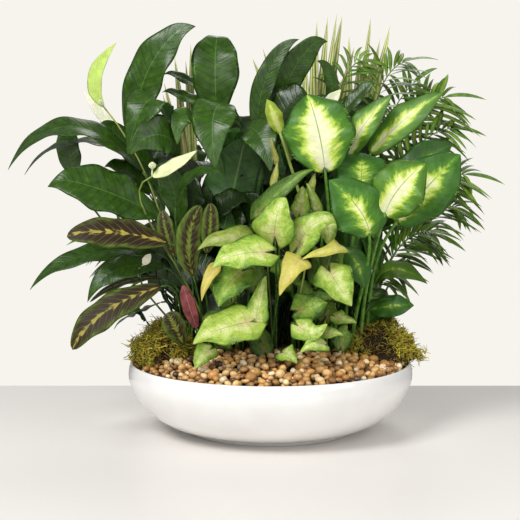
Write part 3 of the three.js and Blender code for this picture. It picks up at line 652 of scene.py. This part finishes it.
# ---- bowl, soil, river pebbles and moss ----------------------------------------------------------------
def turned_bowl():
    """The bowl thrown as one wall: flat foot, round belly, softly rolled rim, and the hollow inside."""
    foot = [(0, 0), (60, 0), (90.5, 0), (92, 0.6), (92.8, 3), (93.6, 4.6)]
    belly = [(97, 5.5), (103, 6.6), (108, 8), (115.5, 11.2), (122, 15), (129.4, 20.2), (135.5, 26), (140.8, 32.2),
             (145, 39), (148.6, 46), (151, 52), (152.3, 57), (152.5, 61), (152.2, 65), (151.5, 69)]
    rim = [(150.7, 72), (150, 73.5), (149.2, 74), (148.3, 73.7), (147.7, 72.6), (INNER, 70)]
    hollow = [(INNER, 60), (144, 48), (136, 34), (122, 22), (104, 14), (88, 11), (40, 10.2), (0, 10)]
    profile = foot + belly + rim + hollow
    bm = bmesh.new()
    line = [bm.verts.new((r * MM, 0, z * MM)) for r, z in profile]
    edges = [bm.edges.new(pair) for pair in zip(line, line[1:])]
    bmesh.ops.spin(bm, geom=line + edges, cent=(0, 0, 0), axis=(0, 0, 1), angle=2 * math.pi, steps=144,
                   use_merge=True)
    bmesh.ops.remove_doubles(bm, verts=bm.verts, dist=1e-6)
    bmesh.ops.recalc_face_normals(bm, faces=bm.faces)
    return piece("bowl_glazed", bm, [GLAZE], "glaze", ["bowl"])


turned_bowl()


def coloured(bm, verts, code, light=1.0):
    """Give points one colour, brightened by light."""
    layer = bm.verts.layers.float_color["tint"]
    red, green, blue, _ = hue(code)
    for vert in verts:
        vert[layer] = (red * light, green * light, blue * light, 1.0)


def soil_bed():
    """Soil heaped to the middle, loose on top, with crumbs of bark and peat lying on it."""
    chance = random.Random(5)
    bm = tinted()
    heap = bmesh.ops.create_icosphere(bm, subdivisions=5, radius=1)["verts"]
    for vert in heap:
        d = vert.co.normalized()
        x, y = d.x * 145, d.y * 145
        if d.z > 0:
            z = ground(x, y) - 1.5 + 1.6 * noise.noise(Vector((x, y, 0)) * 0.12)
        else:
            z = 62 + 48 * d.z * (1 - 0.5 * (1 - abs(d.z)))
        shrink = 1 if d.z > 0 else 1 - 0.3 * abs(d.z)
        vert.co = Vector((x * shrink, y * shrink, z)) * MM
    coloured(bm, heap, "2e2014")
    for _ in range(900):
        x, y, _ = scattered(chance, 142)
        size = chance.uniform(0.7, 2.2)
        spot = Matrix.Translation(Vector((x, y, ground(x, y) - 0.6)) * MM)
        spin = Matrix.Rotation(chance.uniform(0, TURN), 4, "Z") @ Matrix.Rotation(chance.uniform(-.6, .6), 4, "X")
        shape = Matrix.Diagonal((size * MM * chance.uniform(1, 2.4), size * MM, size * MM * 0.7, 1))
        crumb = bmesh.ops.create_icosphere(bm, subdivisions=1, radius=1, matrix=spot @ spin @ shape)["verts"]
        coloured(bm, crumb, chance.choice(("3a2818", "2a1c11", "4a3420", "1f150d")))
    bmesh.ops.recalc_face_normals(bm, faces=bm.faces)
    return piece("potting_soil", bm, [SOIL], "soil", ["soil"])


soil_bed()


def pebbles():
    """Washed river pebbles, two deep along the rim. Each is its own worn ellipsoid, dented a little."""
    chance = random.Random(21)
    bm = tinted()
    shades = ("c49a63", "b5864a", "d9b88a", "9c713d", "b08048", "a67c4c", "e3cb9c", "cfa365", "8a6238",
              "d3ab70", "e9d6b2", "7a5230", "b98f58", "c79a58", "d6b27c", "4f3d2e", "a98050", "c4a06a")
    laid = {}

    def clear(x, y, r, layer):
        cell = (int(x // 12), int(y // 12))
        near = [q for i in (-1, 0, 1) for j in (-1, 0, 1) for q in laid.get((cell[0] + i, cell[1] + j, layer), ())]
        if any((x - a) ** 2 + (y - b) ** 2 < (0.86 * (r + c)) ** 2 for a, b, c in near):
            return False
        laid.setdefault((*cell, layer), []).append((x, y, r))
        return True

    for layer, lift, darts in ((0, 1.0, 9000), (1, 5.4, 6000)):
        for _ in range(darts):
            x, y, out = scattered(chance, 143.5)
            in_bed = (x / 104) ** 2 + ((y - 20) / 60) ** 2
            if in_bed < 1 or (y > 30 and layer == 1):
                continue
            r = chance.triangular(2.6, 6.4, 4.0)
            if out + r > INNER - 0.5 or not clear(x, y, r, layer):
                continue
            tall = chance.uniform(0.55, 0.85)
            spot = Matrix.Translation(Vector((x, y, ground(x, y) + lift + r * tall * 0.4)) * MM)
            lean = Matrix.Rotation(chance.uniform(-0.5, 0.5), 4, "X") @ Matrix.Rotation(
                chance.uniform(-0.5, 0.5), 4, "Y")
            spin = Matrix.Rotation(chance.uniform(0, TURN), 4, "Z")
            stone = bmesh.ops.create_icosphere(bm, subdivisions=2, radius=1)["verts"]
            off = Vector((chance.uniform(0, 90), chance.uniform(0, 90), 0))
            whole = spot @ lean @ spin @ Matrix.Diagonal((r * MM, r * MM * chance.uniform(.68, .95),
                                                          r * MM * tall, 1))
            for vert in stone:
                vert.co = whole @ (vert.co * (1 + 0.16 * noise.noise(vert.co * 0.9 + off)))
            coloured(bm, stone, chance.choice(shades), chance.uniform(0.85, 1.5))
    return piece("river_pebbles", bm, [PEBBLE], "gravel", ["river_gravel"])


pebbles()


def moss(name, count, seed):
    """A cushion of dried moss: a brown tangle inside, painted near black for the shade deep in the cushion, and
    on it short curled shoots, brown low down and olive to yellow-green at their ends, the tips lightened
    towards a pale yellow partly as their own colour and partly as a painted highlight."""
    chance = random.Random(seed)
    low, high = (Vector(c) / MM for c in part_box(name))
    middle, reach = (low + high) / 2, (high - low) / 2 * 0.92
    centre = Vector((middle.x, middle.y, ground(middle.x, middle.y)))
    half = Vector((reach.x, reach.y, high.z - centre.z + 4))
    bm = tinted()
    heart = bmesh.ops.create_icosphere(bm, subdivisions=4, radius=1)["verts"]

    def surface_point(d, share):
        lump = 1 + 0.22 * noise.noise(d * 2.1 + Vector((seed, 0, 0))) + 0.12 * noise.noise(d * 5.3)
        p = Vector((centre.x + d.x * half.x * share * lump, centre.y + d.y * half.y * share * lump,
                    centre.z + max(-0.04, d.z) * half.z * share * lump))
        out = math.hypot(p.x, p.y)
        if out > 145 and p.z < 77:
            p.x, p.y = p.x * 145 / out, p.y * 145 / out
        return p

    for vert in heart:
        vert.co = surface_point(vert.co.normalized(), 0.86) * MM
    # Painted shade: the inner tangle is given a near-black brown for the shadow inside the cushion.
    coloured(bm, heart, "2d2410")
    seedling = bmesh.new()
    bmesh.ops.create_cone(seedling, cap_ends=True, segments=3, radius1=1, radius2=0.35, depth=1,
                          matrix=Matrix.Translation((0, 0, 0.5)))
    sides = [e for e in seedling.edges if abs(e.verts[0].co.z - e.verts[1].co.z) > 0.5]
    bmesh.ops.subdivide_edges(seedling, edges=sides, cuts=3, use_grid_fill=True)
    shoot = bpy.data.meshes.new("shoot")
    seedling.to_mesh(shoot)
    seedling.free()
    tints = bm.verts.layers.float_color["tint"]
    browns = [hue(code) for code in ("7a5a22", "6b4a1c", "5a3c16", "8a6a26", "4a3312")]
    greens = [hue(code) for code in ("9a8626", "a89c30", "8a8428", "b3ab3c", "86701f", "7d7a24")]
    # The pale tip colour: partly the shoots' own yellow-green ends, partly a painted highlight where light catches
    # them.
    tip = Vector(hue("d0c852")[:3])
    tufts = [Vector((chance.gauss(0, 1), chance.gauss(0, 1), abs(chance.gauss(0, 1)))).normalized()
             for _ in range(46)]
    for _ in range(count):
        before = len(bm.verts)
        bm.from_mesh(shoot)
        bm.verts.ensure_lookup_table()
        d = Vector((chance.gauss(0, 1), chance.gauss(0, 1), abs(chance.gauss(0, 1)) - 0.06)).normalized()
        tufted = chance.random() < 0.68
        if tufted:
            d = (chance.choice(tufts) + d * 0.22).normalized()
        base = surface_point(d, chance.uniform(0.9, 1.08) if tufted else chance.uniform(0.78, 0.92))
        grow = (d * 0.45 + Vector((chance.gauss(0, .7), chance.gauss(0, .7), chance.gauss(.15, .6)))).normalized()
        bend = Vector((chance.uniform(-1, 1), chance.uniform(-1, 1), chance.uniform(-1, 0.6)))
        long = chance.uniform(3, 6.5)
        thick = chance.uniform(0.55, 1.2)
        own = Vector(chance.choice(greens if tufted else browns)[:3]) * chance.uniform(0.8, 1.9)
        side = grow.orthogonal().normalized()
        other = grow.cross(side)
        for i in range(before, len(bm.verts)):
            vert = bm.verts[i]
            s = vert.co.z
            p = base + grow * (long * s) + bend * (long * 1.2 * s * s)
            p += side * (0.34 * long * math.sin(5 * s)) + other * (0.28 * long * math.cos(6 * s))
            p += (side * vert.co.x + other * vert.co.y) * thick
            vert[tints] = (*own.lerp(tip, 0.45 * s * s * (chance.random() < 0.8)), 1.0)
            vert.co = p * MM
    bpy.data.meshes.remove(shoot)
    bmesh.ops.recalc_face_normals(bm, faces=bm.faces)
    return piece(name + "_shoots", bm, [MOSS], "moss", [name])


moss("moss_left", 3600, 3)
moss("moss_right", 3400, 8)
moss("moss_back", 3400, 14)

# ---- palm fronds, striped tufts and flowers ------------------------------------------------------------
def leaflet(bm, start_at, heading, width, long, droop, face, tint, curl=0.0, columns=6, rows=9):
    """A narrow blade that leaves along its heading and sinks under its own weight."""
    sideways = heading.cross(Vector(face)).normalized()
    points = []
    for i in range(rows + 1):
        s = i / rows
        points.append(start_at + heading * (long * s) + Vector((0, 0, -droop * s * s)) + sideways * (curl * s * s))
    tangents = [(points[min(i + 1, rows)] - points[max(i - 1, 0)]).normalized() for i in range(rows + 1)]
    spine = frames_along(points, tangents, rows // 2, face)

    def place(u, v):
        step = round(v * rows)
        s = step / rows
        across, top = split(u)
        p, t, n, a = spine[step]
        half = width / 2 * (math.sin(math.pi * s**0.75) ** 0.75 if 0 < s < 1 else 0)
        thick = 0.2 * top if abs(across) < 0.999 else 0
        return p + a * (across * half) + n * (0.22 * half * abs(across) + thick)

    def veins(u, v):
        across, _ = split(u)
        return (abs(across) * 3, abs(across))

    skin(bm, columns, rows, place, tint, veins)


def frond(name, root, neck, mid, tip, long, width, pairs, face, replaced=(), seed=0, light=0.4):
    """A palm frond: one rachis with leaflets in pairs, longest in the middle, and one at the end."""
    chance = random.Random(seed * 7 + 3)
    bm = start()
    point, heading = rib_of(neck, mid, tip)
    line = stalk_points(root, neck, heading(0), 10) + [point(s / 8) for s in range(1, 9)]
    tube(bm, line, lambda v: 1.5 - 1.0 * v, (light + 0.2, 0.1, 0.5), slot=1)
    up = Vector(face).normalized()
    for i in range(pairs):
        s = 0.04 + 0.92 * i / (pairs - 1)
        along = heading(s)
        across = along.cross(up).normalized()
        reach = long * (1 - 0.5 * (2 * s - 0.85) ** 2)
        for side in (-1, 1):
            way = along * chance.uniform(0.5, 0.72) + across * side * 0.8 + up * chance.uniform(-.05, .2)
            way.normalize()
            leaflet(bm, point(min(1, s + side * 0.012)), way, width * chance.uniform(0.65, 0.95),
                    reach * chance.uniform(1.15, 1.5), reach * chance.uniform(0.3, 0.65), up,
                    (light + chance.uniform(-.3, .5), chance.uniform(0, .3), 0.5), chance.uniform(-7, 7))
    leaflet(bm, point(0.99), heading(1), width, long * 0.85, long * 0.25, up, (light + 0.2, 0.1, 0.5))
    bmesh.ops.recalc_face_normals(bm, faces=bm.faces)
    return piece(name, bm, [PALM_SKIN, STALK_SKIN], "palm_leaf", replaced)


FRONDS = [
    ([96, 44], [112, 50, 326], [124, 48, 372], [146, 44, 394], 46, 6, 11, [0, -4, 8]),
    ([88, 54], [138, 64, 290], [164, 66, 336], [192, 62, 356], 56, 6.5, 14, [-2, -6, 7]),
    ([104, 34], [146, 44, 220], [178, 44, 258], [212, 38, 272], 52, 6.5, 14, [-1, -6, 8]),
    ([106, 26], [132, 24, 182], [150, 20, 204], [168, 14, 212], 46, 6, 10, [0, -4, 8]),
    ([70, 74], [92, 128, 246], [98, 164, 290], [96, 186, 300], 46, 6.5, 13, [0, 2, 8]),
    ([-66, 62], [-128, 66, 150], [-160, 62, 190], [-190, 52, 204], 44, 6, 11, [-1, -5, 8]),
]
MORE_FRONDS = [
    ([100, 30], [118, 30, 150], [128, 26, 160], [140, 22, 164], 40, 6, 9, [0, -4, 8]),
    ([96, 40], [120, 44, 240], [158, 40, 300], [196, 34, 322], 46, 6, 13, [-1, -6, 7]),
    ([108, 40], [150, 50, 180], [182, 46, 226], [204, 40, 236], 42, 6, 12, [-1, -5, 8]),
    ([60, 60], [70, 66, 330], [84, 64, 380], [104, 60, 396], 34, 5, 10, [-2, -7, 5]),
    ([20, 84], [-30, 130, 240], [-50, 160, 300], [-62, 180, 312], 44, 6, 12, [-1, 2, 8]),
    ([98, 46], [116, 60, 200], [140, 66, 262], [172, 64, 300], 46, 6, 14, [-1, -7, 5]),
    ([100, 42], [124, 52, 150], [148, 52, 196], [180, 46, 206], 44, 6, 13, [-1, -6, 6]),
    ([92, 58], [110, 80, 270], [132, 86, 330], [160, 82, 372], 46, 6, 14, [-1, -7, 5]),
    ([40, 88], [60, 130, 200], [76, 160, 232], [104, 186, 236], 44, 6, 12, [0, 2, 8]),
]
for i, plan in enumerate(FRONDS):
    frond(f"palm_frond_{i + 1}_leaflets", *plan, [f"palm_frond_{i + 1}"], seed=i)
for i, plan in enumerate(MORE_FRONDS):
    frond(f"palm_more_{i + 1}", *plan, seed=i + 20, light=0.35)


def tuft(name, root, stem, tips, replaced, seed):
    """A short leafy stem whose narrow blades stand up and lean a little outward, each folded along its middle."""
    chance = random.Random(seed)
    bm = start()
    foot, crown = Vector((root[0], root[1], ground(*root) - SINK)), Vector(stem)
    tube(bm, [foot.lerp(crown, i / 8) for i in range(9)], lambda v: 2.6, (0.3, 0.1, 0.5), slot=1)
    heart = crown.lerp(foot, 0.1)
    for tip in tips:
        for twin in range(2):
            end = Vector(tip) + Vector((chance.uniform(-16, 16), chance.uniform(-6, 6),
                                        -chance.uniform(4, 70))) * twin
            way = end - heart
            turned_to = Vector((chance.uniform(-.7, .7), -1, 0))
            leaflet(bm, heart, way.normalized(), chance.uniform(9, 13), way.length, 0, turned_to,
                    (chance.uniform(.4, .65), chance.uniform(0, .15), .5), 0, 8, 12)
    bmesh.ops.recalc_face_normals(bm, faces=bm.faces)
    return piece(name + "_blades", bm, [STRIPED_SKIN, STALK_SKIN], "striped_blade", replaced)


TUFTS = [
    ([-78, 66], [-84, 76, 236],
     [[-150, 84, 386], [-106, 80, 400], [-94, 84, 396], [-88, 78, 414], [-120, 112, 372]]),
    ([34, 62], [48, 80, 252],
     [[52, 78, 440], [64, 82, 444], [74, 76, 448], [-8, 84, 410], [80, 84, 446], [40, 112, 404]]),
    ([60, 60], [92, 84, 256],
     [[88, 82, 424], [112, 84, 444], [100, 78, 408], [134, 84, 436], [122, 78, 420], [118, 112, 398]]),
]
for i, (root, stem, tips) in enumerate(TUFTS):
    tuft(f"striped_tuft_{i + 1}", root, stem, tips, [f"striped_tuft_{i + 1}"], 60 + i)


def flower(name, root, neck, mid, tip, width, face, spadix, light, warm, replaced, seed):
    """A peace lily flower: its hooded spathe, and the spadix on its own short stem, set with small round
    florets. spadix is its radius, its length, and the way from the neck to its foot."""
    bm = start()
    leaf(bm, "spathe", root, neck, mid, tip, width, face, seed, (light, warm, 0.5))
    radius, long, way = spadix
    foot = Vector(neck) + Vector(way)
    axis = Vector(way).normalized()
    tube(bm, [Vector(neck).lerp(foot, i / 4) for i in range(5)], lambda v: 0.9, (light, 0.4, 0.5), slot=0)
    tint = bm.verts.layers.float_color["tint"]
    side = axis.orthogonal().normalized()
    rings = max(4, int(long / 1.2))
    for ring in range(rings + 1):
        s = ring / rings
        wide = radius * math.sin(math.pi * (0.06 + 0.88 * s)) ** 0.6
        for knob in range(10):
            turn = Matrix.Rotation(2 * math.pi * (knob + 0.5 * (ring % 2)) / 10, 3, axis)
            spot = foot + axis * (long * s) + (turn @ side) * wide
            made = bmesh.ops.create_icosphere(bm, subdivisions=1, radius=0.32 * radius * MM,
                                              matrix=Matrix.Translation(spot * MM))["verts"]
            for vert in made:
                vert[tint] = (0.6, 0.15, 0.5, 1.0)
    bmesh.ops.recalc_face_normals(bm, faces=bm.faces)
    return piece(name, bm, [SPATHE_SKIN, SPATHE_SKIN, STALK_SKIN], "spathe", replaced)


FLOWERS = [
    ([-100, 26], [-176, 2, 344], [-185, 0, 376], [-162, -4, 412], 17, [-3, -9, 1],
     (2.2, 8, [-1.5, -4, 3]), 0.5, 0.85),
    ([-104, 58], [-166, 56, 313], [-185, 56, 337], [-205, 56, 362], 14, [2, -9, 4],
     (1.9, 7, [-1, -3, 4]), 0.6, 0.0),
    ([-64, -14], [-122, -54, 274], [-101, -60, 284], [-75, -60, 301], 15, [-2, -8, 5],
     (3.2, 5, [0.5, -3, 9]), 0.55, 0.45),
]
MORE_FLOWERS = [
    ([-88, -20], [-133, -40, 181], [-129, -40, 187], [-125, -40, 193], 9, [0, -9, 3],
     (1.8, 4, [-3, -2, -3]), 0.6, 0.05),
    ([48, 30], [60, 35, 345], [66, 30, 352], [76, 28, 364], 14, [0, -9, 3], (1.6, 5, [1, -2, 3]), 0.55, 0.2),
]
for i, plan in enumerate(FLOWERS):
    flower(f"peace_lily_flower_{i + 1}_bloom", *plan, [f"peace_lily_flower_{i + 1}"], i)
for i, plan in enumerate(MORE_FLOWERS):
    flower(f"peace_lily_flower_more_{i + 1}", *plan, [], i + 5)

# ---- the dense leaves between the plants, painted dark for the shade among them ------------------------
def inner_leaves(name, kind, slot, count, seed, low, high, span, width, light, green):
    """Leaves that fill the middle of the planting, each on its own stalk out of the soil, their colour kept dark as
    painted shade for the shadow among the plants.
    """
    chance = random.Random(seed)
    rows = []
    for _ in range(count):
        at = [chance.uniform(a, b) for a, b in zip(low, high)]
        turn = chance.uniform(0, TURN)
        out = chance.uniform(0.35, 1.0) * span
        rise = chance.uniform(0.2, 0.9) * span
        tip = [at[0] + out * math.cos(turn), at[1] + 0.5 * out * math.sin(turn), at[2] + rise]
        mid = [(at[0] + tip[0]) / 2, (at[1] + tip[1]) / 2, (at[2] + tip[2]) / 2 + 0.18 * span]
        root = [at[0] * 0.6 + chance.uniform(-10, 10), 20 + (at[1] - 20) * 0.5 + chance.uniform(-8, 8)]
        face = [at[0] / 100 + chance.uniform(-.4, .4), -1 if at[1] < 62 else 1, chance.uniform(.1, .8)]
        rows.append(row(root, at, mid, tip, chance.uniform(*width), face, chance.uniform(*light), 0.0, green))
    return leaf_piece(name, kind, slot, rows, seed=seed)


# Stem of the names, kind, how many leaves, reach, widths, lightness (kept low: painted shade), green, first seed,
# and the boxes they start in.
SHADED = [
    ("peace_lily_inner", "lily", 6, 82, (38, 58), (0.0, 0.15), 0.7, 200,
     [((-105 + 26 * i, 20, 120), (-60 + 42 * i, 66, 300)) for i in range(4)]),
    ("peace_lily_low", "lily", 6, 66, (32, 50), (0.0, 0.2), 0.7, 230,
     [((-110 + 70 * i, 0, 95), (-40 + 70 * i, 50, 190)) for i in range(3)]),
    ("peace_lily_back", "lily", 8, 84, (38, 56), (0.25, 0.6), 0.7, 260,
     [((-100 + 60 * i, 78, 110), (-40 + 70 * i, 118, 300)) for i in range(3)]),
    ("arrowhead_inner", "arrow", 8, 36, (24, 36), (0.05, 0.3), 0.8, 300,
     [((-45 + 60 * i, -72, 92), (20 + 66 * i, -36, 185)) for i in range(2)]),
    ("peace_lily_deep", "lily", 10, 60, (34, 48), (0.0, 0.12), 0.7, 360,
     [((-24, 6, 96), (44, 50, 170)), ((16, 34, 226), (104, 60, 300)), ((-110, -6, 110), (-50, 40, 220))]),
    ("peace_lily_side", "lily", 6, 48, (28, 40), (0.1, 0.35), 0.7, 400,
     [((96, 0, 120), (124, 70, 250)), ((-136, 0, 110), (-112, 60, 240))]),
    ("dumb_cane_inner", "cane", 7, 52, (34, 50), (0.0, 0.2), 1.0, 330,
     [((56 + 14 * i, -8, 92), (84 + 20 * i, 56, 230)) for i in range(3)]),
]
SHADED_SLOTS = {"lily": "peace_lily_leaf", "arrow": "arrowhead_leaf", "cane": "dumb_cane_leaf"}
for stem, kind, count, span, width, light, green, seed, boxes in SHADED:
    for i, (low, high) in enumerate(boxes):
        inner_leaves(f"{stem}_{i + 1}", kind + "_shaded", SHADED_SLOTS[kind], count, seed + i, low, high, span,
                     width, light, green)

# ---- camera, table and light ---------------------------------------------------------------------------
EYE = Vector((-11.2, -1500, 341)) * MM
AIM = Vector((-11.2, 0, 182)) * MM


def looking(made, place, aim_at):
    """Put something at a place and turn it to look at another."""
    made.location = place
    made.rotation_euler = (aim_at - place).to_track_quat("-Z", "Y").to_euler()


camera = in_scene("camera", bpy.data.cameras.new("camera"))
camera.data.lens = 97.5
camera.data.sensor_width = 36.0
looking(camera, EYE, AIM)
bpy.context.scene.camera = camera

# A plain pale table top: smooth and a little shiny, so the bowl barely mirrors in it.
table_top, tree = new_material("pale_table")
finished(tree, {"Base Color": hue("ece8e3"), "Roughness": 0.35})
bm = bmesh.new()
bmesh.ops.create_grid(bm, x_segments=1, y_segments=1, size=4.0, matrix=Matrix.Translation((0, -3.77, 0)))
meshed("floor", bm, [table_top])

# Soft boxes in metres: name, place, the height above the origin that it is aimed at, its sides, and its watts.
for name, place, height, sides, power in (
        ("key_light", (-1.0, -1.3, 1.7), 0.2, (0.9, 0.9), 39),
        ("fill_light", (1.5, -1.2, 1.0), 0.2, (1.2, 1.2), 11),
        ("window_light", (-0.1, -2.7, 1.05), 0.15, (1.5, 0.8), 12),
        ("back_light", (0.4, 1.6, 1.8), 0.2, (1.2, 1.2), 14)):
    lamp = bpy.data.lights.new(name, "AREA")
    lamp.shape = "RECTANGLE"
    lamp.size, lamp.size_y = sides
    lamp.energy = power
    looking(in_scene(name, lamp), Vector(place), Vector((0, 0, height)))

# The wall is the sky of the scene: bright where it is looked at, dimmer as a source of light.
world = bpy.data.worlds.new("studio")
bpy.context.scene.world = world
world.use_nodes = True
sky = world.node_tree
sky.nodes.clear()
seen = node(sky, "ShaderNodeBackground", {0: hue("f7f4ee"), 1: 1.0})
shed = node(sky, "ShaderNodeBackground", {0: hue("fdfcfa"), 1: 0.34})
ray = node(sky, "ShaderNodeLightPath").outputs["Is Camera Ray"]
both = node(sky, "ShaderNodeMixShader", {0: ray, 1: shed.outputs[0], 2: seen.outputs[0]})
node(sky, "ShaderNodeOutputWorld", {0: both.outputs[0]})
bpy.context.scene.view_settings.view_transform = "Standard"
